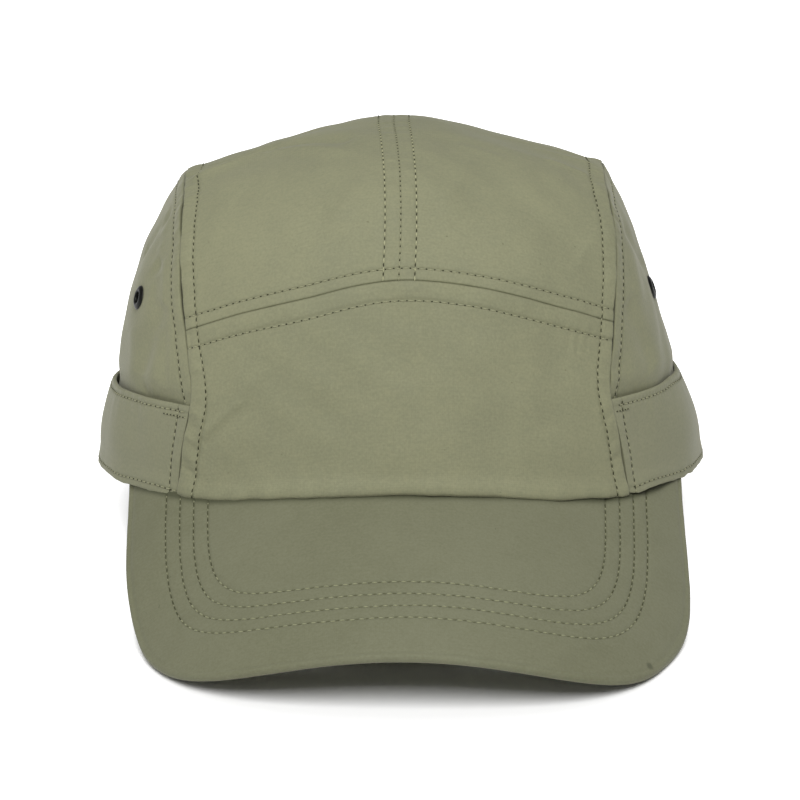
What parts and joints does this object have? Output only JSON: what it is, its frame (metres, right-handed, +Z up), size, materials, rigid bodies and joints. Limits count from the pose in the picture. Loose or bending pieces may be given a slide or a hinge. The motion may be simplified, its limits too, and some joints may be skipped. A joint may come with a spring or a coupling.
{
  "type": "five panel cap",
  "caption": "Soft five panel cap with a short curved peak, a cloth band round the sides and back, and an eyelet in each side.",
  "frame": {"origin": "middle of the bounding box's foot, on the surface that the cap rests on", "axes": "+Z up, +Y to the back, so the peak points to -Y"},
  "size_m": [0.196, 0.2534, 0.1342],
  "materials": {
    "crown_cloth": "matte plain weave",
    "band_cloth": "matte plain weave",
    "peak_cloth": "matte plain weave",
    "eyelet_metal": "dark satin"
  },
  "bodies": {
    "root": {"front_panel": "crown_cloth", "top_panel_left": "crown_cloth", "top_panel_right": "crown_cloth", "side_panel_left": "crown_cloth", "side_panel_right": "crown_cloth", "side_band": "band_cloth", "peak": "peak_cloth", "eyelet_left": "eyelet_metal", "eyelet_right": "eyelet_metal"}
  },
  "joints": []
}
